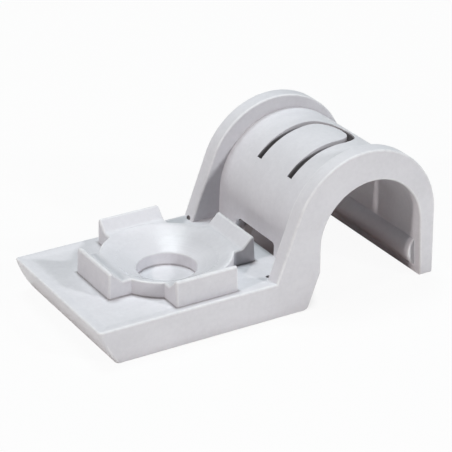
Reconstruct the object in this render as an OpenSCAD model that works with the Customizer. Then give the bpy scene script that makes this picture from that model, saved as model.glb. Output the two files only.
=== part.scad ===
// Half-saddle clip that holds one pipe or conduit to a wall with a single fixing pin.
// One moulding: a base pad with a fixing boss, and a sprung saddle open towards the wall.
// The wall is the plane Z = 0, the fixing pin runs along Z through the origin,
// and the pipe lies along Y on the +X side.

/* [Pipe] */
// Outside diameter of the pipe that the saddle holds
pipe_d = 16; // [14:0.5:18]
// Play between the pipe and the saddle, on the diameter
pipe_play = 0.1; // [0:0.05:0.4]
// Distance from the fixing pin to the pipe axis
pipe_pitch = 24.7; // [24:0.1:28]
// Height of the pipe axis above the wall
pipe_h = 8.6; // [8.2:0.1:10]

/* [Base pad] */
// Width of the clip along the pipe
base_w = 25; // [23.5:0.5:34]
// Thickness of the base pad
base_t = 5.1; // [4.6:0.1:6]
// Distance from the fixing pin to the top edge of the toe
toe_reach = 16.7; // [15:0.1:24]
// Distance by which the foot of the toe is set back from its top edge
toe_set = 2.5; // [1:0.1:3]
// Radius of the bulging toe face
toe_r = 15; // [8:0.5:40]
// Radius of the heel edge under the saddle
heel_r = 0.8; // [0.2:0.1:1.2]
// Depth of the shallow sink in the pad's top
sink_depth = 0.22; // [0.1:0.02:0.3]
// Width of the flat rim left round the sink
sink_rim = 0.4; // [0.2:0.1:0.6]
// Width of the slope from the rim down into the sink
sink_run = 0.9; // [0.4:0.1:1.2]

/* [Fixing boss] */
// Width across two opposite lugs
boss_span = 22.4; // [20:0.2:23]
// Width of one lug
lug_w = 9.3; // [6:0.1:10]
// Height of the lug tips above the pad
lug_h = 3.45; // [2.6:0.05:4.5]
// Width of the narrow land along a lug tip
lug_tip = 0.25; // [0.15:0.05:0.8]
// Lean of the lugs' outer faces, in degrees
lug_draft = 3; // [0:0.5:4]
// Diameter of the round wall between the lugs
boss_d = 18.2; // [16.5:0.1:18.4]
// Height of the round wall above the pad
boss_h = 2; // [1.5:0.05:2.4]
// Land left outside the countersink on the round wall
boss_land = 0.45; // [0.1:0.05:0.6]
// Diameter of the blind pocket under the countersink
pocket_d = 8.3; // [6:0.1:10]
// Depth of the straight wall of the pocket
pocket_depth = 1.8; // [0.8:0.1:2.2]
// Web that the fixing pin pierces, from the pocket floor to the wall
web_t = 3.05; // [1.6:0.05:3.4]

/* [Saddle] */
// Wall of the saddle between the flanges
barrel_wall = 2.45; // [1.8:0.05:2.6]
// Lean of the saddle's toe-side wall, in degrees
wall_slope = 2; // [0:0.5:4]
// Thickness of the two end flanges
flange_t = 2.4; // [1.5:0.1:2.8]
// Radius of the flange outline
flange_r = 11.35; // [11:0.05:12.5]
// Offset of the flange outline towards the toe, from the pipe axis
flange_shift = 0.95; // [0.2:0.05:1]
// Offset of the flange outline upwards, from the pipe axis
flange_rise = 1.25; // [0:0.05:2]
// Lean of the flange edge and of the heel under it, in degrees
flank_slope = 21; // [10:1:26]
// Outward lean of the free leg's inner face, in degrees
leg_splay = 2.5; // [0:0.1:3]
// Thickness of the free leg at its foot
foot_t = 2.1; // [1.6:0.1:2.6]
// Height of the free leg's foot above the wall
foot_gap = 0.4; // [0:0.1:1.5]

/* [Sprung tongue] */
// Width of the tongue in the saddle's crown
tongue_w = 6.7; // [4:0.1:9]
// Width of the slots beside the tongue
slot_w = 1.05; // [0.6:0.05:1.4]
// Length of the slots, from the top of the crown back to the tongue's root
slot_reach = 7.8; // [5:0.1:8]

/* [Window and bead] */
// Length of the window at the foot of the saddle's wall, along the pipe
window_w = 9.3; // [5:0.1:14]
// Height of the window above the pad
window_h = 1.7; // [1:0.05:2.5]
// Height of the retaining bead inside the free leg
bead_h = 4.1; // [2:0.1:5]
// Rise of the retaining bead from the leg
bead_rise = 1.05; // [0.4:0.05:1.4]
// Height of the middle of the bead above the wall
bead_z = 3.5; // [3:0.05:4]
// Distance from an end face of the clip to the end of the bead
bead_inset = 1.4; // [0.5:0.1:3]

/* [Hidden] */

$fn = 96;
// Overlap that joins one feature to the next, and by which cuts pass a face
lap = 0.5;
clip_colour = [0.86, 0.87, 0.89];

bore_r = (pipe_d + pipe_play) / 2;
barrel_r = bore_r + barrel_wall;
flange_x = pipe_pitch - flange_shift;
flange_z = pipe_h + flange_rise;
inner_w = base_w - 2 * flange_t;

wall_x = pipe_pitch - bore_r;
heel_x = wall_x - base_t * tan(flank_slope);
toe_chord = norm([toe_set, base_t]);
toe_deep = sqrt(toe_r * toe_r - toe_chord * toe_chord / 4);

boss_r = boss_d / 2;
rim_z = base_t + boss_h;
lug_z = base_t + lug_h;
lug_reach = boss_span / 2;
pocket_z = web_t + pocket_depth;
sill_z = base_t - sink_depth;

// Point on the inner face of the free leg at a given height
function leg_x(z) = pipe_pitch + (bore_r + (pipe_h - z) * sin(leg_splay)) / cos(leg_splay);

// Extrudes a section drawn in X and Z along the pipe, centred on Y = 0
module along_pipe(length) {
    rotate([90, 0, 0])
        linear_extrude(height = length, center = true)
            children();
}

// Section of the base pad, with its bulging toe and its rounded heel edge
module pad_section() {
    heel_set = heel_r * tan((90 - flank_slope) / 2);
    intersection() {
        translate([
            toe_set / 2 - toe_reach + toe_deep * base_t / toe_chord,
            base_t / 2 + toe_deep * toe_set / toe_chord
        ])
            circle(r = toe_r, $fn = 2 * $fn);
        translate([-toe_reach - lap, 0])
            square([toe_reach + lap, base_t]);
    }
    polygon([
        [-pocket_d / 2, base_t],
        [-pocket_d / 2, 0],
        [heel_x - heel_set, 0],
        [heel_x + heel_set * sin(flank_slope), heel_set * cos(flank_slope)],
        [wall_x, base_t]
    ]);
    translate([heel_x - heel_set, heel_r])
        circle(r = heel_r);
}

// Shallow sink in the pad's top, which leaves a rim along the toe and both sides
module pad_sink() {
    rim_x = sink_rim - toe_reach;
    rim_y = base_w / 2 - sink_rim;
    over_z = base_t + sink_depth;
    intersection() {
        along_pipe(base_w)
            polygon([
                [rim_x - sink_run, over_z],
                [rim_x + sink_run, sill_z],
                [wall_x + lap, sill_z],
                [wall_x + lap, over_z]
            ]);
        rotate([90, 0, 90])
            linear_extrude(height = 2 * (toe_reach + wall_x), center = true)
                polygon([
                    [-rim_y - sink_run, over_z],
                    [-rim_y + sink_run, sill_z],
                    [rim_y - sink_run, sill_z],
                    [rim_y + sink_run, over_z]
                ]);
    }
}

// Space under the saddle: the pipe's seat, and the mouth below it down to the wall
module mouth_section() {
    translate([pipe_pitch, pipe_h])
        circle(r = bore_r);
    polygon([
        [wall_x, pipe_h],
        [wall_x, base_t],
        [heel_x, 0],
        [heel_x, -barrel_r],
        [leg_x(-barrel_r), -barrel_r],
        [pipe_pitch + bore_r * cos(leg_splay), pipe_h + bore_r * sin(leg_splay)]
    ]);
}

// Outline of an arch of radius r about x, z, down to the pad on one side, which leans by slope,
// and to the free leg's foot on the other
module arch_outline(x, z, r, slope) {
    root_z = base_t - lap;
    flank = [x - r * cos(slope), z + r * sin(slope)];
    foot = [leg_x(foot_gap) + foot_t, foot_gap];
    foot_far = norm([foot[0] - x, foot[1] - z]);
    leg_angle = atan2(foot[1] - z, foot[0] - x) + acos(r / foot_far);
    translate([x, z])
        circle(r = r);
    polygon([
        flank,
        [flank[0] - (flank[1] - root_z) * tan(slope), root_z],
        [pipe_pitch, root_z],
        [pipe_pitch, foot_gap],
        foot,
        [x + r * cos(leg_angle), z + r * sin(leg_angle)]
    ]);
}

// Outline of the two end flanges
module flange_outline() {
    arch_outline(flange_x, flange_z, flange_r, flank_slope);
}

// Base pad and the saddle that grows from its heel
module pad_and_saddle() {
    difference() {
        along_pipe(base_w)
            pad_section();
        pad_sink();
    }
    along_pipe(inner_w + 2 * lap)
        difference() {
            intersection() {
                arch_outline(pipe_pitch, pipe_h, barrel_r, wall_slope);
                flange_outline();
            }
            mouth_section();
        }
    for (side = [-1, 1])
        translate([0, side * (base_w - flange_t) / 2, 0])
            along_pipe(flange_t)
                difference() {
                    flange_outline();
                    mouth_section();
                }
}

// Round wall and four lugs that centre the fixing tool's nose
module fixing_boss() {
    root_z = base_t - lap;
    translate([0, 0, root_z])
        cylinder(r = boss_r, h = rim_z - root_z);
    tip_x = lug_reach - lug_h * tan(lug_draft);
    tip_in = tip_x - lug_tip;
    for (turn = [0 : 90 : 270])
        rotate([0, 0, turn])
            along_pipe(lug_w)
                polygon([
                    [pocket_d / 2, root_z],
                    [lug_reach, root_z],
                    [lug_reach, base_t],
                    [tip_x, lug_z],
                    [tip_in, lug_z],
                    [tip_in - (lug_z - rim_z), rim_z],
                    [pocket_d / 2, rim_z]
                ]);
}

// Countersink and blind pocket for the fixing pin's head
module pin_seat() {
    rotate_extrude()
        polygon([
            [0, web_t],
            [pocket_d / 2, web_t],
            [pocket_d / 2, pocket_z],
            [boss_r - boss_land, rim_z],
            [boss_r - boss_land, lug_z + lap],
            [0, lug_z + lap]
        ]);
}

// Plan of a tongue of the given width, from the root end x to its round tip on the crown
module tongue_plan(x, width) {
    translate([x, -width / 2])
        square([pipe_pitch - x, width]);
    translate([pipe_pitch, 0])
        circle(d = width);
}

// Slot of even width round the tongue, cut straight down through the crown
module tongue_slot() {
    root_x = pipe_pitch - slot_reach;
    translate([0, 0, pipe_h])
        linear_extrude(height = barrel_r + lap)
            difference() {
                tongue_plan(root_x, tongue_w + 2 * slot_w);
                tongue_plan(root_x - lap, tongue_w);
            }
}

// Window at the foot of the saddle's toe-side wall, open down through the heel under it
module window() {
    notch_x = pipe_pitch - barrel_r;
    translate([notch_x - lap, -window_w / 2, sill_z])
        cube([barrel_wall + 2 * lap, window_w, sink_depth + window_h]);
    translate([notch_x, -window_w / 2, -lap])
        cube([barrel_wall + lap, window_w, base_t + lap]);
}

// Rounded bead along the free leg that snaps under the pipe
module retaining_bead() {
    bead_r = (bead_h * bead_h / 4 + bead_rise * bead_rise) / (2 * bead_rise);
    along_pipe(base_w - 2 * bead_inset)
        intersection() {
            translate([leg_x(bead_z) - bead_rise + bead_r, bead_z])
                circle(r = bead_r);
            translate([leg_x(bead_z) - bead_rise - lap, bead_z - bead_h])
                square([bead_rise + lap + barrel_wall / 2, 2 * bead_h]);
        }
}

module p_clip() {
    color(clip_colour)
        union() {
            difference() {
                union() {
                    pad_and_saddle();
                    fixing_boss();
                }
                pin_seat();
                tongue_slot();
                window();
            }
            retaining_bead();
        }
}

p_clip();
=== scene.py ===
from math import acos, atan2, ceil, cos, hypot, pi, radians, sin, sqrt, tan

import bmesh
import bpy
from mathutils import Matrix, Vector


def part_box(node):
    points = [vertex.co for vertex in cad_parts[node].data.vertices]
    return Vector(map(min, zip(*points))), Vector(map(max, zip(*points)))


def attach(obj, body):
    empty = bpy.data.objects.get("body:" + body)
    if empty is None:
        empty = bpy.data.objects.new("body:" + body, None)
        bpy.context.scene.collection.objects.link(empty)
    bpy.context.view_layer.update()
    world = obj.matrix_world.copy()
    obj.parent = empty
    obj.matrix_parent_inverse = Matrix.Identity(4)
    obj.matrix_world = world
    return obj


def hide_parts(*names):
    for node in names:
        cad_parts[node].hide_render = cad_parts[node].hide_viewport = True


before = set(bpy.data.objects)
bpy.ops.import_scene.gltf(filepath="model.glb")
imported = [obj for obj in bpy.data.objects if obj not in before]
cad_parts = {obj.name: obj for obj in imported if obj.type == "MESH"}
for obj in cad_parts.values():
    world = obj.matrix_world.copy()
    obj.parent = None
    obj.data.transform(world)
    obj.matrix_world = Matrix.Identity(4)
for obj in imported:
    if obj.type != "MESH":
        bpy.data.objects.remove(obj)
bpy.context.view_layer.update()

# Sizes are in millimetres, in the frame of the CAD part. Overall sizes come from the frame.
MM = 0.001
MM_PER_M = 1000
low, high = (corner * MM_PER_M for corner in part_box("p_clip"))
HALF_W = high.y
TOE_X = -low.x
TOP_Z = high.z

# Base pad: its thickness, the undercut and bulge of its toe, and the lower edge of its heel.
PAD_T = 5.1
TOE_SET = 2.5
TOE_R = 15.0
HEEL_R = 0.8

# Saddle over the pipe, its two flanges and its free leg.
PIPE_X = 24.7
PIPE_Z = 8.6
BORE_R = 8.05
BARREL_R = 10.5
WALL_SLOPE = radians(2)
FLANGE_T = 2.4
FLANGE_R = 11.35
FLANGE_X = PIPE_X - 0.95
FLANGE_Z = TOP_Z - FLANGE_R
FLANGE_ROOT = 1.0
FLANK_SLOPE = radians(21)
LEG_SPLAY = radians(2.5)
FOOT_GAP = 0.4
FOOT_T = 2.1
WALL_X = PIPE_X - BORE_R
HEEL_X = WALL_X - PAD_T * tan(FLANK_SLOPE)
HEEL_SET = HEEL_R * tan((pi / 2 - FLANK_SLOPE) / 2)

# Fixing boss: its round wall, the countersink, the blind pocket and the lugs.
BOSS_R = 9.1
BOSS_Z = PAD_T + 2.0
SEAT_R = BOSS_R - 0.45
POCKET_R = 4.15
POCKET_Z = 4.85
WEB_T = 3.05
LUG_COUNT = 4
LUG_REACH = 11.2
LUG_W = 9.3
LUG_H = 3.45
LUG_DRAFT = radians(3)
LUG_SLOPE = radians(45)

# Sprung tongue in the crown, window at the wall's foot, and snap bead inside the free leg.
TONGUE_W = 6.7
SLOT_W = 1.05
SLOT_REACH = 7.8
WINDOW_H = 1.7
WINDOW_R = 0.55
BEAD_H = 4.1
BEAD_RISE = 1.05
BEAD_Z = 3.5
BEAD_INSET = 1.4

# What moulding adds to the sharp CAD form: edge radii, and the slight sink of the pad's top.
EDGE = 0.28
FINE_EDGE = 0.22
UNDER_EDGE = EDGE * 0.7
LUG_EDGE = 0.32
RIDGE_R = 0.34
LUG_FILLET = 0.7
SEAT_FILLET = 2.0
SEAT_BEND = 0.85
TOE_CORNER = 0.5
LEAST_CORNER = 0.1
SINK = 0.22
SINK_W = 1.6
# Small pits at the flanges' feet: place and half sizes.
PITS = [((9.85, 11.25, 5.1), (0.3, 0.45, 0.32)), ((10.26, -9.55, 4.98), (0.38, 0.36, 0.8))]

# Near-sharp corners, the lugs' step over the boss, how far cutters run past, and what is merged.
POINT = 0.01
FLUSH = 0.015
FAR = 6.0
PAST = 1.0
WELD = 0.002
# A face gets the painted edge highlight, with some wear, when it is a strip this narrow that bends
# outwards this much. Sharper edges stay crisp.
STRIP = 0.12
BEND_LEAST = radians(7)
BEND_MOST = radians(30)
CRISP = radians(32)

# Steps that curves are drawn in.
WIDE_ARC_R = 2
WIDE_ARC_STEP = radians(3)
SMALL_ARC_STEP = radians(15)
EDGE_STEPS = 5
SINK_STEPS = 8
TOE_STEPS = 10
HEEL_STEPS = 8
BORE_STEPS = 60
TIP_STEPS = 40
BEAD_STEPS = 24
TURN_STEPS = 120
PIT_STEPS = 3

# Tones of the plastic: its two shades, specks, the painted highlight with some wear on edges, the turned
# countersink and the painted shade in crevices.
PALE = (0.685, 0.68, 0.715, 1)
DEEP = (0.625, 0.62, 0.655, 1)
SPECK_TONE = (0.5, 0.51, 0.53, 1)
# Lighter tone of the painted highlight, with some wear, on narrow rounded edges.
HIGHLIGHT_AND_WEAR_TONE = (0.735, 0.735, 0.755, 1)
TURNED_TONE = (0.56, 0.56, 0.59, 1)
# Dark tone of the painted shade in crevices and hollows.
PAINTED_SHADE_TONE = (0.125, 0.106, 0.106, 1)
# How far each pattern and finish shows in the tone.
FLOW_TONE = 0.35
CLOUD_TONE = 0.3
MOTTLE_TONE = 0.35
SPECK_SHARE = 0.25
HIGHLIGHT_AND_WEAR_SHARE = 0.8
TURNED_SHARE = 0.4
# Patterns in the plastic: scale per metre, detail and roughness. Each varies about a mean level.
FLOW = (260.0, 3.0, 0.6)
CLOUD = (90.0, 2.0, 0.5)
MOTTLE = (1500.0, 3.0, 0.65)
SPECK = (2300.0, 1.0, 0.5)
GRAIN = (5200.0, 2.0, 0.6)
PEEL = (1100.0, 2.0, 0.5)
RINGS = (1600.0, 3.0, 0.6)
MEAN = 0.5
FLOW_STRETCH = (0.35, 1.0, 1.0)
FLOW_TURN = (0, 0, 0.2)
# Gloss: the plastic's roughness, how far each pattern changes it, and what turning takes off it.
DULL = 0.37
FLOW_DULL = 0.08
GRAIN_DULL = 0.10
TURNED_GLOSS = 0.12
PLASTIC_IOR = 1.5
PLASTIC_SPECULAR = 0.17
# Relief: share of each pattern, and its strength and depth.
GRAIN_RELIEF = 0.35
PEEL_RELIEF = 0.65
RINGS_RELIEF = 5.0
RELIEF_STRENGTH = 0.16
RELIEF_DEPTH = 0.08
# How strongly shade is painted into each crevice and hollow.
SLOT_SHADE = 0.68
CROWN_LIGHT = 0.85
JAMB_SHADE = 0.88
FOOT_SHADE = 0.5
FLANK_SHADE = 0.12
LUG_END_SHADE = 0.35
LUG_SEAT_SHADE = 0.14
POCKET_FOOT_SHADE = 0.4
POCKET_WALL_SHADE = 0.03
PIT_SHADE = 0.75

# Floor: half its side in metres, its tones as they light the clip and as they are seen, with painted
# shade and a painted shadow under the saddle, and its white.
FLOOR_HALF = 3
FLOOR_BOUNCE = (0.85, 0.83, 0.81, 1)
# Painted shade: dark floor under the saddle in the light it bounces onto the clip.
PAINTED_SHADE_BOUNCE = (0.285, 0.141, 0.12, 1)
FLOOR_TONE = (0.6, 0.6, 0.6, 1)
# Painted shadow: dark floor tone seen in a soft wedge under the saddle.
PAINTED_SHADOW_TONE = (0.19, 0.165, 0.172, 1)
FLOOR_WHITE = 0.94
WHITE = (1, 1, 1, 1)
SKY_MIRRORED = 0.35
# Square lamps: name, direction to it, width in metres, power and tint; all are aimed at the clip.
LAMPS = [
    ("key", (0.43, -0.79, 0.44), 0.06, 1.89, (1.0, 1.0, 1.005)),
    ("top", (0.03, 0.24, 0.97), 0.2, 2.55, (0.915, 1.0, 1.005)),
    ("left", (-0.83, -0.145, 0.53), 0.04, 1.45, (1.07, 1.0, 0.97)),
]
LAMP_FAR = 0.6
LAMP_AIM = (9, 0, 8)
# Camera: its place, how far it looks down and to the side in degrees, its lens and its sensor.
CAMERA_AT = (-114.34, -209.51, 126.64)
CAMERA_DOWN = 25.876
CAMERA_TURN = -30.545
CAMERA_LENS = 158.18
CAMERA_SENSOR = 36.0


def leg_x(z):
    """X of the free leg's inner face at a height."""
    return PIPE_X + (BORE_R + (PIPE_Z - z) * sin(LEG_SPLAY)) / cos(LEG_SPLAY)


def toe_x(z):
    """X of the bulging toe face at a height."""
    chord = hypot(TOE_SET, PAD_T)
    deep = sqrt(TOE_R**2 - chord**2 / 4)
    x = TOE_SET / 2 - TOE_X + deep * PAD_T / chord
    return x - sqrt(TOE_R**2 - (z - PAD_T / 2 - deep * TOE_SET / chord) ** 2)


def turned(angle):
    """Unit direction at an angle."""
    return Vector((cos(angle), sin(angle)))


def fan(start, sweep, steps):
    """Unit directions from an angle on through a sweep."""
    return [turned(start + sweep * k / steps) for k in range(steps + 1)]


def rounded(corners):
    """Closed outline, anticlockwise, of (x, y, radius) corners: a list of (point, outward normal)."""
    out = []
    count = len(corners)
    for i, (x, y, radius) in enumerate(corners):
        here = Vector((x, y))
        back = (Vector(corners[i - 1][:2]) - here).normalized()
        ahead = (Vector(corners[(i + 1) % count][:2]) - here).normalized()
        start = atan2(back.x, -back.y)
        sweep = (atan2(-ahead.x, ahead.y) - start + pi) % (2 * pi) - pi
        half = (pi - abs(sweep)) / 2
        centre = here + (back + ahead).normalized() * (radius / sin(half))
        side = radius if sweep > 0 else -radius
        step = WIDE_ARC_STEP if radius > WIDE_ARC_R else SMALL_ARC_STEP
        for normal in fan(start, sweep, max(2, ceil(abs(sweep) / step))):
            out.append((centre + normal * side, normal))
    return out


def end_steps(edge):
    """(distance from the end, inset) along the quarter round of an end edge."""
    steps = [pi / 2 * k / EDGE_STEPS for k in range(EDGE_STEPS + 1)]
    return [(edge * (1 - cos(t)), edge * (1 - sin(t))) for t in steps]


def along_x(u, v, w):
    return Vector((w, u, v)) * MM


def along_y(u, v, w):
    return Vector((u, w, v)) * MM


def along_z(u, v, w):
    return Vector((u, v, w)) * MM


def put_in_scene(name, data):
    """New object in the scene."""
    obj = bpy.data.objects.new(name, data)
    bpy.context.scene.collection.objects.link(obj)
    return obj


def mesh_piece(name, bm):
    """New object of a finished mesh."""
    mesh = bpy.data.meshes.new(name)
    bm.to_mesh(mesh)
    bm.free()
    return put_in_scene(name, mesh)


def skin(bm, rows):
    """Faces between rows of points that are closed rings; a row on the axis is one point, repeated."""
    for one, two in zip(rows, rows[1:]):
        for i in range(len(one)):
            j = (i + 1) % len(one)
            bm.faces.new(dict.fromkeys((one[i], one[j], two[j], two[i])))


def solid(name, loops):
    """Closed shape through a row of loops with the same number of points each."""
    bm = bmesh.new()
    rows = [[bm.verts.new(point) for point in loop] for loop in loops]
    skin(bm, rows)
    bm.faces.new(rows[0][::-1])
    bm.faces.new(rows[-1])
    bmesh.ops.recalc_face_normals(bm, faces=bm.faces)
    return mesh_piece(name, bm)


def prism(name, outline, start, end, edge=0.0, place=along_y):
    """Outline swept from start to end, with its end edges rounded."""
    steps = end_steps(edge) if edge else [(0.0, 0.0)]
    stations = [(start + far, inset) for far, inset in steps]
    stations += [(end - far, inset) for far, inset in reversed(steps)]
    return solid(name, [[place(*(p - n * inset), w) for p, n in outline] for w, inset in stations])


def spun(name, profile):
    """Profile of (radius, height) points turned about Z; it starts and ends on the axis."""
    bm = bmesh.new()
    turns = fan(0, 2 * pi, TURN_STEPS)[:-1]
    rows = []
    for radius, height in profile:
        if radius == 0:
            rows.append([bm.verts.new(along_z(0, 0, height))] * TURN_STEPS)
        else:
            rows.append([bm.verts.new(along_z(*(turn * radius), height)) for turn in turns])
    skin(bm, rows)
    bmesh.ops.recalc_face_normals(bm, faces=bm.faces)
    return mesh_piece(name, bm)


def plain_mesh(obj):
    """Applies an object's modifiers to its mesh."""
    graph = bpy.context.evaluated_depsgraph_get()
    mesh = bpy.data.meshes.new_from_object(obj.evaluated_get(graph))
    obj.modifiers.clear()
    old = obj.data
    obj.data = mesh
    bpy.data.meshes.remove(old)


def combine(obj, others, how):
    """Joins, cuts or trims obj by each of the others, which are used up."""
    for other in others:
        step = obj.modifiers.new(other.name, "BOOLEAN")
        step.solver = "MANIFOLD"
        step.operation = how
        step.object = other
    bpy.context.view_layer.update()
    plain_mesh(obj)
    for other in others:
        bpy.data.objects.remove(other)


def tidy_mesh(mesh):
    """Merges the points that cutting left on top of each other, and drops faces without area."""
    bm = bmesh.new()
    bm.from_mesh(mesh)
    bmesh.ops.remove_doubles(bm, verts=bm.verts, dist=WELD * MM)
    bmesh.ops.dissolve_degenerate(bm, edges=bm.edges, dist=WELD * MM)
    bm.to_mesh(mesh)
    bm.free()


def mark_highlight_and_wear(mesh):
    """Stores which faces belong to a rounded outer edge; these get a painted highlight, with some wear.
    """
    bm = bmesh.new()
    bm.from_mesh(mesh)
    highlight_and_wear = []
    for face in bm.faces:
        reach = max(edge.calc_length() for edge in face.edges)
        sides = [edge for edge in face.edges if edge.calc_length() > reach / 2]
        bends = [edge.calc_face_angle_signed(0.0) for edge in sides]
        narrow = face.calc_area() < STRIP * MM * reach
        outward = BEND_LEAST < max(bends) < BEND_MOST and min(bends) > -BEND_LEAST
        highlight_and_wear.append(float(narrow and outward))
    bm.free()
    mesh.attributes.new("highlight_and_wear", "FLOAT", "FACE").data.foreach_set("value", highlight_and_wear)


def base_pad():
    """Base pad with rounded edges, a bulging toe and a shallow sink in its top."""
    levels = end_steps(UNDER_EDGE)
    levels += [(PAD_T * k / TOE_STEPS, 0.0) for k in range(2, TOE_STEPS - 1)]
    levels += [(PAD_T - far, inset) for far, inset in reversed(end_steps(EDGE))]
    for k in range(1, SINK_STEPS + 1):
        ease = k / SINK_STEPS
        levels.append((PAD_T - SINK * ease**2 * (3 - 2 * ease), EDGE + SINK_W * ease))
    loops = []
    for z, inset in levels:
        left = toe_x(min(z, PAD_T - EDGE / 2)) + inset
        right = PIPE_X
        side = HALF_W - inset
        corner = max(TOE_CORNER - inset, LEAST_CORNER)
        outline = rounded(
            [(left, -side, corner), (right, -side, corner), (right, side, corner), (left, side, corner)]
        )
        loops.append([along_z(p.x, p.y, z) for p, n in outline])
    return solid("base_pad", loops)


def arch(x, z, radius, slope, root_z):
    """Outline of an arch: leaning edge on the toe's side, free leg on the other."""
    top = z + radius
    foot = Vector((leg_x(FOOT_GAP) + FOOT_T, FOOT_GAP))
    offset = foot - Vector((x, z))
    lean = atan2(offset.y, offset.x) + acos(radius / offset.length)
    rise = (Vector((x, z)) + turned(lean) * radius - foot).normalized()
    shoulder = foot + rise * ((top - foot.y) / rise.y)
    edge_x = x - radius / cos(slope) - z * tan(slope)
    return rounded(
        [
            (edge_x + root_z * tan(slope), root_z, EDGE),
            (PIPE_X, root_z, EDGE),
            (PIPE_X + BORE_R / 2, FOOT_GAP, EDGE),
            (foot.x, foot.y, EDGE),
            (shoulder.x, top, radius),
            (edge_x + top * tan(slope), top, radius),
        ]
    )


def mouth():
    """Cutter for the pipe's seat and the mouth under it, flared by the edge radius at both ends."""
    heel = Vector((HEEL_X - HEEL_SET, HEEL_R))
    points = [(Vector((heel.x, -FAR)), Vector((-1, 0)))]
    # Rounded lower edge of the heel.
    for normal in fan(-pi / 2, pi / 2 - FLANK_SLOPE, HEEL_STEPS):
        points.append((heel + normal * HEEL_R, -normal))
    # Soft bend where the heel's slope turns upright, from below.
    bend = rounded([(WALL_X, PIPE_Z + FAR, POINT), (WALL_X, PAD_T, EDGE), (HEEL_X, 0, POINT)])
    near = [pair for pair in bend if abs(pair[0].y - PAD_T) < EDGE]
    points += [(p, -n if n.x > 0 else n) for p, n in sorted(near, key=lambda pair: pair[0].y)]
    # Round seat over the pipe, then down along the splayed leg.
    for normal in fan(pi, LEG_SPLAY - pi, BORE_STEPS):
        points.append((Vector((PIPE_X, PIPE_Z)) + normal * BORE_R, normal))
    points.append((Vector((leg_x(-FAR), -FAR)), turned(LEG_SPLAY)))
    steps = end_steps(EDGE)
    stations = [(-HALF_W - FAR, EDGE)] + [(-HALF_W + far, out) for far, out in steps]
    stations += [(HALF_W - far, out) for far, out in reversed(steps)] + [(HALF_W + FAR, EDGE)]
    return solid("mouth", [[along_y(*(p + n * out), w) for p, n in points] for w, out in stations])


def pin_seat():
    """Cutter for the countersink and the blind pocket, with the pocket's mouth and the rim rounded."""
    slope = atan2(BOSS_Z - POCKET_Z, SEAT_R - POCKET_R)
    reach = EDGE / tan((pi / 2 + slope) / 2)
    lip = Vector((POCKET_R + EDGE, POCKET_Z - reach))
    rim = Vector((SEAT_R + SEAT_FILLET * tan(slope / 2), BOSS_Z - SEAT_FILLET))
    profile = [(0, WEB_T), (POCKET_R, WEB_T)]
    profile += [tuple(lip + t * EDGE) for t in fan(pi, slope - pi / 2, EDGE_STEPS)]
    profile += [tuple(rim + t * SEAT_FILLET) for t in fan(pi / 2 + slope, -SEAT_BEND * slope, EDGE_STEPS)]
    profile += [(profile[-1][0], BOSS_Z + FAR), (0, BOSS_Z + FAR)]
    return spun("pin_seat", profile)


def boss_wall():
    """Round wall of the fixing boss, with a rounded rim."""
    rim = [(BOSS_R - inset, BOSS_Z - far) for far, inset in reversed(end_steps(FINE_EDGE))]
    return spun("boss_wall", [(0, PAD_T / 2), (BOSS_R, PAD_T / 2)] + rim + [(0, BOSS_Z)])


def one_lug():
    """The lug on the +X side of the boss, with a blunt ridge and all its outer edges rounded."""
    ridge = (pi / 2 + LUG_DRAFT - LUG_SLOPE) / 2
    top = PAD_T + LUG_H + RIDGE_R * (cos(ridge - LUG_DRAFT) / sin(ridge) - 1)
    tip = LUG_REACH - (top - PAD_T) * tan(LUG_DRAFT)
    root = PAD_T / 2
    land = BOSS_Z + FLUSH
    corners = [
        (POCKET_R, root, POINT),
        (LUG_REACH + (PAD_T - root) * tan(LUG_DRAFT), root, POINT),
        (tip, top, RIDGE_R),
        (tip - (top - land) / tan(LUG_SLOPE), land, LUG_FILLET),
        (POCKET_R, land, POINT),
    ]
    return prism("lug", rounded(corners), -LUG_W / 2, LUG_W / 2, LUG_EDGE)


def lug_ring(lug, count, paint):
    """Geometry Nodes tree that repeats a lug round the pin axis; returns the ring as a plain object."""
    tree = bpy.data.node_groups.new("lug_ring", "GeometryNodeTree")
    tree.interface.new_socket("Geometry", in_out="OUTPUT", socket_type="NodeSocketGeometry")
    given = {}
    for name, kind, value in (
        ("Lug", "NodeSocketObject", lug),
        ("Count", "NodeSocketInt", count),
        ("Paint", "NodeSocketMaterial", paint),
    ):
        given[tree.interface.new_socket(name, in_out="INPUT", socket_type=kind).identifier] = value
    one = Sock.make(tree, "NodeGroupInput", {}, out="Lug")
    many = Sock.make(tree, "NodeGroupInput", {}, out="Count")
    finish = Sock.make(tree, "NodeGroupInput", {}, out="Paint")
    shape = Sock.make(tree, "GeometryNodeObjectInfo", {"Object": one}, out="Geometry")
    spots = Sock.make(tree, "GeometryNodePoints", {"Count": many})
    turn = Sock.make(tree, "GeometryNodeInputIndex", {}) * (2 * pi) / many
    spin = Sock.make(tree, "ShaderNodeCombineXYZ", {"Z": turn})
    feeds = {"Points": spots, "Instance": shape, "Rotation": spin}
    lugs = Sock.make(tree, "GeometryNodeInstanceOnPoints", feeds)
    real = Sock.make(tree, "GeometryNodeRealizeInstances", {0: lugs})
    painted = Sock.make(tree, "GeometryNodeSetMaterial", {"Geometry": real, "Material": finish})
    Sock.make(tree, "NodeGroupOutput", {0: painted})
    ring = put_in_scene("lug_ring", bpy.data.meshes.new("lug_ring"))
    step = ring.modifiers.new("lug_ring", "NODES")
    step.node_group = tree
    for key, value in given.items():
        step[key] = value
    bpy.context.view_layer.update()
    plain_mesh(ring)
    bpy.data.objects.remove(lug)
    return ring


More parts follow.
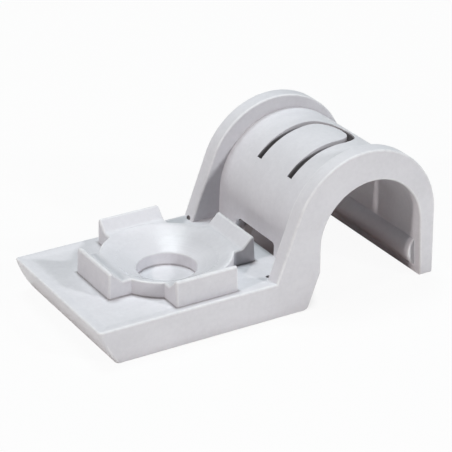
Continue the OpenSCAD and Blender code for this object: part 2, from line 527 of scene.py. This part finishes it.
def tongue_slot():
    """Cutter for the even slot round the tongue, straight down through the crown."""
    root = PIPE_X - SLOT_REACH
    inner, outer = TONGUE_W / 2, TONGUE_W / 2 + SLOT_W
    turns = fan(-pi / 2, pi, TIP_STEPS)
    points = [Vector((root, -outer))] + [Vector((PIPE_X, 0)) + t * outer for t in turns]
    points += [Vector((root, outer)), Vector((root, inner))]
    points += [Vector((PIPE_X, 0)) + t * inner for t in reversed(turns)] + [Vector((root, -inner))]
    return prism("tongue_slot", [(p, p * 0) for p in points], PIPE_Z, TOP_Z + FAR, place=along_z)


def window():
    """Cutters for the window at the foot of the saddle's toe-side wall, and for the notch under it."""
    half = LUG_W / 2
    front, back = PIPE_X - BARREL_R, WALL_X + PAST
    sill, top = PAD_T - SINK, PAD_T + WINDOW_H
    corners = [(-half, sill, POINT), (half, sill, POINT), (half, top, WINDOW_R), (-half, top, WINDOW_R)]
    light = prism("window", rounded(corners), front - PAST, back, place=along_x)
    square = [(front, -FAR), (back, -FAR), (back, PAD_T), (front, PAD_T)]
    drop = prism("notch", [(Vector(c), Vector((0, 0))) for c in square], -half, half)
    return [light, drop]


def pit(centre, half):
    """Cutter for a small pit."""
    bm = bmesh.new()
    shape = Matrix.Translation(Vector(centre) * MM) @ Matrix.Diagonal(Vector(half) * MM).to_4x4()
    bmesh.ops.create_icosphere(bm, subdivisions=PIT_STEPS, radius=1.0, matrix=shape)
    return mesh_piece("pit", bm)


def bead():
    """Snap bead along the inside of the free leg."""
    radius = (BEAD_H**2 / 4 + BEAD_RISE**2) / (2 * BEAD_RISE)
    x = leg_x(BEAD_Z) - BEAD_RISE + radius
    sweep = acos((radius - BEAD_RISE - FOOT_T / 2) / radius)
    turns = fan(pi - sweep, 2 * sweep, BEAD_STEPS)
    outline = [(Vector((x, BEAD_Z)) + t * radius, t) for t in turns]
    return prism("bead", outline, BEAD_INSET - HALF_W, HALF_W - BEAD_INSET, FINE_EDGE)


class Sock:
    """A node's value that arithmetic can be done on."""

    def __init__(self, tree, socket):
        self.tree = tree
        self.socket = socket

    @staticmethod
    def make(tree, kind, feeds, out=0, **settings):
        """New node: its settings first, then values or links for its sockets; gives one output."""
        node = tree.nodes.new(kind)
        for name, value in settings.items():
            setattr(node, name, value)
        for key, value in feeds.items():
            if isinstance(value, Sock):
                tree.links.new(value.socket, node.inputs[key])
            elif value is not None:
                node.inputs[key].default_value = value
        return Sock(tree, node.outputs[out]) if len(node.outputs) else None

    def math(self, operation, other=None):
        return self.make(self.tree, "ShaderNodeMath", {0: self, 1: other}, operation=operation)

    def __add__(self, other):
        return self.math("ADD", other)

    __radd__ = __add__

    def __sub__(self, other):
        return self.math("SUBTRACT", other)

    def __rsub__(self, other):
        return self.make(self.tree, "ShaderNodeMath", {0: other, 1: self}, operation="SUBTRACT")

    def __mul__(self, other):
        return self.math("MULTIPLY", other)

    __rmul__ = __mul__

    def __truediv__(self, other):
        return self.math("DIVIDE", other)

    def most(self, other):
        return self.math("MAXIMUM", other)

    def least(self, other):
        return self.math("MINIMUM", other)

    def ramp(self, start, end):
        """0 at start and below it, 1 at end and above it, smooth between them."""
        feeds = {"Value": self, "From Min": start, "From Max": end}
        return self.make(self.tree, "ShaderNodeMapRange", feeds, interpolation_type="SMOOTHSTEP")

    def band(self, start, end, soft):
        """1 between start and end, 0 outside them."""
        return self.ramp(start, start + soft) * (1 - self.ramp(end - soft, end))

    def noise(self, scale, detail, rough):
        feeds = {"Vector": self, "Scale": scale, "Detail": detail, "Roughness": rough}
        return self.make(self.tree, "ShaderNodeTexNoise", feeds, out="Fac")

    def mix(self, one, two):
        """Colour one at 0, colour two at 1."""
        factor, colour_a, colour_b, result = 0, 6, 7, 2
        feeds = {factor: self, colour_a: one, colour_b: two}
        return self.make(self.tree, "ShaderNodeMix", feeds, out=result, data_type="RGBA")


class Spot:
    """Where a point lies, in millimetres."""

    def __init__(self, place):
        axes = [Sock.make(place.tree, "ShaderNodeSeparateXYZ", {0: place}, out=i) for i in range(3)]
        self.x, self.y, self.z = (axis * MM_PER_M for axis in axes)

    def measure(self):
        """Adds the distances from the middle planes, from the pipe's axis and from the pin's axis."""
        self.deep, self.wide = self.x.math("ABSOLUTE"), self.y.math("ABSOLUTE")
        self.out, self.up = self.x - PIPE_X, self.z - PIPE_Z
        self.from_pipe = (self.out * self.out + self.up * self.up).math("SQRT")
        self.from_pin = (self.x * self.x + self.y * self.y).math("SQRT")
        return self


def slot_shade(at):
    """Painted shade on the walls of the tongue's slot, paler near the crown, where light falls in."""
    soft, above, beside = 0.5, (1.0, 1.2), (5.0, 5.2)
    crown_z, crown_x = (8.6, 10.6, 0.9), (0.5, 2.5)
    walls = at.from_pipe.band(BORE_R, BARREL_R, soft) * at.up.ramp(*above) * (1 - at.wide.ramp(*beside))
    crown = at.up.band(*crown_z) * (1 - at.out.ramp(*crown_x))
    return walls * SLOT_SHADE * (1 - CROWN_LIGHT * crown)


def window_shade(at):
    """Painted shade on the walls of the window and the notch; the front of the window's jambs stays pale.
    """
    mouth_x, back_x, lip = (0.0, 0.08), (-0.3, 0.0), (0.01, 0.05)
    jamb_y, jamb_x = (-0.1, -0.02), (0.6, 1.2)
    inside = at.x - (PIPE_X - BARREL_R / cos(WALL_SLOPE)) + (PIPE_Z - at.z) * tan(WALL_SLOPE)
    over, beside = at.z - (PAD_T + WINDOW_H), at.wide - LUG_W / 2
    jamb = beside.ramp(*jamb_y) * (1 - JAMB_SHADE * inside.ramp(*jamb_x))
    walls = inside.ramp(*mouth_x) * (1 - (at.x - WALL_X).ramp(*back_x)) * (1 - jamb)
    return walls * (1 - over.ramp(*lip)) * (1 - beside.ramp(*lip))


def foot_shade(at):
    """Painted shade in a line along the pad where the lugs and the boss stand on it."""
    line, clear_of_seat = (0.0, 0.45), (8.4, 8.8)
    across = (at.deep - LUG_REACH).most(at.wide - LUG_W / 2)
    along = (at.deep - LUG_W / 2).most(at.wide - LUG_REACH)
    near = across.least(along).least(at.from_pin - BOSS_R)
    foot = (1 - near.ramp(*line)) * (1 - at.z.ramp(PAD_T - SINK, PAD_T))
    return foot * at.from_pin.ramp(*clear_of_seat) * FOOT_SHADE


def flank_shade(at):
    """Painted shade on the inner faces of the flanges over the pad, where the barrel shades them."""
    face, above, from_x = (-0.06, 0.06, 0.05), (0.0, 0.2), (9.0, 9.4)
    inner = (at.wide - (HALF_W - FLANGE_T)).band(*face)
    return inner * (at.z - PAD_T).ramp(*above) * at.x.ramp(*from_x) * FLANK_SHADE


def lug_end_shade(at):
    """Painted shade on the ends of the lug next to the saddle."""
    face, from_x, to_x = (-0.06, 0.06, 0.05), (8.0, 8.3), (11.2, 11.4)
    ends = (at.wide - LUG_W / 2).band(*face)
    return ends * at.x.ramp(*from_x) * (1 - at.x.ramp(*to_x)) * LUG_END_SHADE


def lug_seat_shade(at):
    """Painted shadow at the foot of the slope of the lug next to the toe."""
    inward, below, above, beside = (7.4, 9.6, 0.9), (-0.8, -0.3), (0.2, 0.9), (4.2, 4.9)
    over = at.z - BOSS_Z
    slope = (0 - at.x).band(*inward) * over.ramp(*below) * (1 - over.ramp(*above))
    return slope * (1 - at.wide.ramp(*beside)) * LUG_SEAT_SHADE


def pocket_shade(at):
    """Painted shade on the wall of the pocket, darkest along its foot."""
    face, mouth_z, foot_z = (-0.12, 0.12, 0.08), (-0.5, -0.2), (0.1, 0.28)
    wall = (at.from_pin - POCKET_R).band(*face) * (1 - (at.z - POCKET_Z).ramp(*mouth_z))
    fade = (POCKET_FOOT_SHADE - POCKET_WALL_SHADE) * (at.z - WEB_T).ramp(*foot_z)
    return wall * (POCKET_FOOT_SHADE - fade)


def pit_shade(at, centre, half):
    """Painted shade inside a small pit."""
    rim = (1.0, 1.2)
    (x, y, z), (half_x, half_y, half_z) = centre, half
    u, v, w = (at.x - x) / half_x, (at.y - y) / half_y, (at.z - z) / half_z
    return (1 - (u * u + v * v + w * w).ramp(*rim)) * PIT_SHADE


def crevice_shade(at):
    """Painted shade of all the clip's crevices and hollows: where they meet, the strongest counts."""
    shade = slot_shade(at)
    for crevice in (window_shade, foot_shade, flank_shade, lug_end_shade, lug_seat_shade, pocket_shade):
        shade = shade.most(crevice(at))
    for centre, half in PITS:
        shade = shade.most(pit_shade(at, centre, half))
    return shade


def turned_zone(at):
    """1 on the countersink's cone, which shows turned rings and is glossier than the moulded faces."""
    mouth_r, rim_r, mouth_z = (-0.2, 0.2), (-2.6, 0.3), (-0.3, 0.0)
    cone = (at.from_pin - POCKET_R).ramp(*mouth_r) * (1 - (at.from_pin - SEAT_R).ramp(*rim_r))
    return cone * (at.z - POCKET_Z).ramp(*mouth_z)


def new_material(name):
    material = bpy.data.materials.new(name)
    material.use_nodes = True
    material.node_tree.nodes.clear()
    return material, material.node_tree


def clip_plastic():
    """Light grey moulded plastic: flow marks, fine grain, painted edge highlight with some wear, painted
    shade in crevices, turned rings.
    """
    material, tree = new_material("clip_plastic")
    place = Sock.make(tree, "ShaderNodeTexCoord", {}, out="Object")
    at = Spot(place).measure()
    stretch = {"Vector": place, "Scale": FLOW_STRETCH, "Rotation": FLOW_TURN}
    flow = Sock.make(tree, "ShaderNodeMapping", stretch).noise(*FLOW)
    mottle = place.noise(*MOTTLE)
    grain = place.noise(*GRAIN)
    cone = turned_zone(at)
    rings = Sock.make(tree, "ShaderNodeCombineXYZ", {"X": at.from_pin * MM}).noise(*RINGS)
    highlight_and_wear = Sock.make(tree, "ShaderNodeAttribute", {}, out="Fac", attribute_name="highlight_and_wear")

    tone_spread, speck_size, highlight_and_wear_spread = (0.34, 0.66), (0.74, 0.82), (0.1, 0.7)
    tone = FLOW_TONE * flow + CLOUD_TONE * place.noise(*CLOUD) + MOTTLE_TONE * mottle
    speck = place.noise(*SPECK).ramp(*speck_size)
    colour = tone.ramp(*tone_spread).mix(DEEP, PALE)
    colour = (speck * SPECK_SHARE).mix(colour, SPECK_TONE)
    # Painted highlight, with some wear, on narrow rounded outer edges.
    colour = (highlight_and_wear * mottle.ramp(*highlight_and_wear_spread) * HIGHLIGHT_AND_WEAR_SHARE).mix(colour, HIGHLIGHT_AND_WEAR_TONE)
    colour = (cone * TURNED_SHARE).mix(colour, TURNED_TONE)
    # Painted shade in the crevices and hollows, and a painted shadow at the foot of the toe-side lug.
    colour = crevice_shade(at).mix(colour, PAINTED_SHADE_TONE)
    rough = DULL + FLOW_DULL * (flow - MEAN) + GRAIN_DULL * (grain - MEAN) - TURNED_GLOSS * cone
    height = GRAIN_RELIEF * grain + PEEL_RELIEF * place.noise(*PEEL) + RINGS_RELIEF * rings * cone
    relief = {"Height": height, "Strength": RELIEF_STRENGTH, "Distance": RELIEF_DEPTH * MM}
    finish = {
        "Base Color": colour,
        "Roughness": rough,
        "Normal": Sock.make(tree, "ShaderNodeBump", relief),
        "IOR": PLASTIC_IOR,
        "Specular IOR Level": PLASTIC_SPECULAR,
    }
    shader = Sock.make(tree, "ShaderNodeBsdfPrincipled", finish)
    Sock.make(tree, "ShaderNodeOutputMaterial", {"Surface": shader})
    return material


def white_floor():
    """Pale floor that looks white away from the clip; under the saddle it has painted shade in the light
    it bounces and a painted shadow where it is seen.
    """
    material, tree = new_material("white_floor")
    at = Spot(Sock.make(tree, "ShaderNodeTexCoord", {}, out="Object"))
    saddle_x, saddle_y = (14, 34, 2), (-12, 14, 2)
    wedge_start, wedge_end, wedge_lean, wedge_y = (12.5, 14), (18.5, 24), 0.59, (-13, 15, 2.4)
    # Painted shade and painted shadow on the floor under the saddle.
    saddle = at.x.band(*saddle_x) * at.y.band(*saddle_y)
    painted_shadow_wedge = at.x.ramp(*wedge_start) * (1 - (at.x - wedge_lean * at.y).ramp(*wedge_end))
    painted_shadow_wedge = painted_shadow_wedge * at.y.band(*wedge_y)
    direct = Sock.make(tree, "ShaderNodeLightPath", {}, out="Is Camera Ray")
    tone = direct.mix(saddle.mix(FLOOR_BOUNCE, PAINTED_SHADE_BOUNCE), painted_shadow_wedge.mix(FLOOR_TONE, PAINTED_SHADOW_TONE))
    matt = Sock.make(tree, "ShaderNodeBsdfDiffuse", {"Color": tone})
    glow = Sock.make(tree, "ShaderNodeEmission", {"Strength": 1.0})
    white = direct * (1 - painted_shadow_wedge) * FLOOR_WHITE
    blend = Sock.make(tree, "ShaderNodeMixShader", {0: white, 1: matt, 2: glow})
    Sock.make(tree, "ShaderNodeOutputMaterial", {"Surface": blend})
    return material


def white_sky():
    """World that is white to the eye, shows in reflections at a lower level, and gives no other light."""
    world = bpy.data.worlds.new("studio")
    world.use_nodes = True
    tree = world.node_tree
    tree.nodes.clear()
    direct = Sock.make(tree, "ShaderNodeLightPath", {}, out="Is Camera Ray")
    mirrored = Sock.make(tree, "ShaderNodeLightPath", {}, out="Is Glossy Ray")
    level = direct.most(mirrored * SKY_MIRRORED)
    sky = Sock.make(tree, "ShaderNodeBackground", {"Color": WHITE, "Strength": level})
    Sock.make(tree, "ShaderNodeOutputWorld", {"Surface": sky})
    return world


def lamp(name, towards, width, power, tint):
    """Softbox: towards is the direction to it from what it is aimed at."""
    light = bpy.data.lights.new(name, "AREA")
    light.shape = "RECTANGLE"
    light.size = width
    light.size_y = width
    light.energy = power
    light.color = tint
    out = Vector(towards).normalized()
    place = Matrix.Translation(Vector(LAMP_AIM) * MM + out * LAMP_FAR)
    put_in_scene(name, light).matrix_world = place @ out.to_track_quat("Z", "Y").to_matrix().to_4x4()


def build_clip(paint):
    """The whole moulding as one closed mesh."""
    clip = base_pad()
    rim = arch(FLANGE_X, FLANGE_Z, FLANGE_R, FLANK_SLOPE, FLANGE_ROOT)
    round_wall = arch(PIPE_X, PIPE_Z, BARREL_R, WALL_SLOPE, PAD_T / 2)
    barrel = prism("barrel", round_wall, FLANGE_T / 2 - HALF_W, HALF_W - FLANGE_T / 2)
    combine(barrel, [prism("trim", rim, -HALF_W, HALF_W)], "INTERSECT")
    near = prism("near_flange", rim, -HALF_W, FLANGE_T - HALF_W, EDGE)
    far = prism("far_flange", rim, HALF_W - FLANGE_T, HALF_W, EDGE)
    ring = lug_ring(one_lug(), LUG_COUNT, paint)
    combine(clip, [barrel, near, far, boss_wall(), ring], "UNION")
    pits = [pit(centre, half) for centre, half in PITS]
    combine(clip, [mouth(), pin_seat(), tongue_slot()] + window() + pits, "DIFFERENCE")
    combine(clip, [bead()], "UNION")
    tidy_mesh(clip.data)
    mark_highlight_and_wear(clip.data)
    clip.name = "clip"
    clip.data.name = "clip"
    clip.data.materials.clear()
    clip.data.materials.append(paint)
    clip.data.shade_smooth()
    clip.data.set_sharp_from_angle(angle=CRISP)
    soften = clip.modifiers.new("weights", "WEIGHTED_NORMAL")
    soften.keep_sharp = True
    bpy.context.view_layer.update()
    plain_mesh(clip)
    return clip


clip = build_clip(clip_plastic())
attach(clip, "root")
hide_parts("p_clip")

floor_mesh = bpy.data.meshes.new("floor")
corners = [(x * FLOOR_HALF, y * FLOOR_HALF, 0) for x, y in ((-1, -1), (1, -1), (1, 1), (-1, 1))]
floor_mesh.from_pydata(corners, [], [(0, 1, 2, 3)])
floor_mesh.materials.append(white_floor())
floor = put_in_scene("floor", floor_mesh)

bpy.context.scene.world = white_sky()
for settings in LAMPS:
    lamp(*settings)

camera = put_in_scene("camera", bpy.data.cameras.new("camera"))
camera.data.sensor_fit = "HORIZONTAL"
camera.data.sensor_width = CAMERA_SENSOR
camera.data.lens = CAMERA_LENS
camera.location = Vector(CAMERA_AT) * MM
camera.rotation_euler = (radians(90 - CAMERA_DOWN), 0, radians(CAMERA_TURN))
bpy.context.scene.camera = camera
bpy.context.scene.view_settings.view_transform = "Standard"
